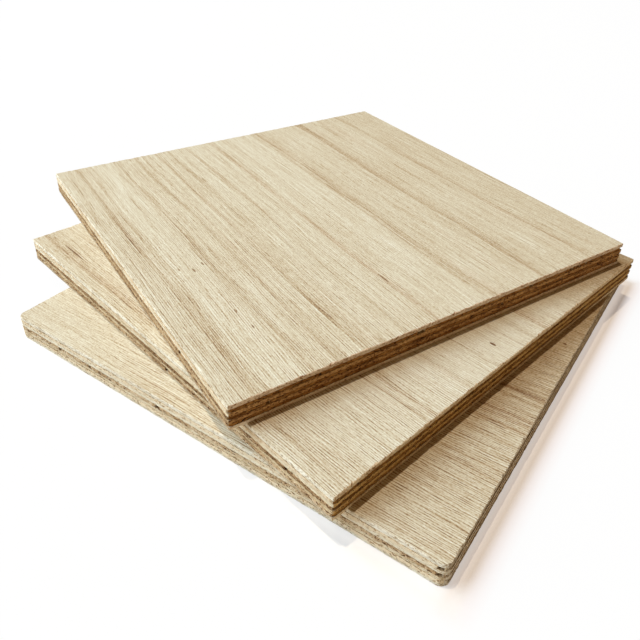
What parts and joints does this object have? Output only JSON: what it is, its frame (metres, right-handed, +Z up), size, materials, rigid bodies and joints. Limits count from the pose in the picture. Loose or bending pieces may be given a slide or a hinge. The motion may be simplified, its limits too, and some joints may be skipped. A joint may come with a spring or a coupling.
{
  "type": "stack of plywood sheets",
  "caption": "Stack of square plywood sheets fanned out on one another, with laminated plies, core gaps and pale straight-grained faces; panel stock.",
  "frame": {"origin": "middle of the bottom sheet's underside, on the floor", "axes": "+X along the face grain of the bottom sheet, +Y across that grain, +Z up through the stack"},
  "size_m": [0.399, 0.3933, 0.0483],
  "materials": {
    "face_wood": "sanded face veneer, unfinished, matt, pale straw with fine straight grain",
    "core_wood": "sawn inner veneer with its grain along the sheet, unfinished, matt",
    "crossband_wood": "sawn inner veneer with its grain across the sheet, unfinished, matt, brown"
  },
  "bodies": {
    "root": {"bottom_sheet_back_veneer": "face_wood", "bottom_sheet_lower_crossband": "crossband_wood", "bottom_sheet_lower_core": "core_wood", "bottom_sheet_centre_crossband": "crossband_wood", "bottom_sheet_upper_core": "core_wood", "bottom_sheet_upper_crossband": "crossband_wood", "bottom_sheet_face_veneer": "face_wood", "middle_sheet_back_veneer": "face_wood", "middle_sheet_lower_crossband": "crossband_wood", "middle_sheet_lower_core": "core_wood", "middle_sheet_centre_crossband": "crossband_wood", "middle_sheet_upper_core": "core_wood", "middle_sheet_upper_crossband": "crossband_wood", "middle_sheet_face_veneer": "face_wood", "top_sheet_back_veneer": "face_wood", "top_sheet_lower_crossband": "crossband_wood", "top_sheet_lower_core": "core_wood", "top_sheet_centre_crossband": "crossband_wood", "top_sheet_upper_core": "core_wood", "top_sheet_upper_crossband": "crossband_wood", "top_sheet_face_veneer": "face_wood"}
  },
  "joints": []
}
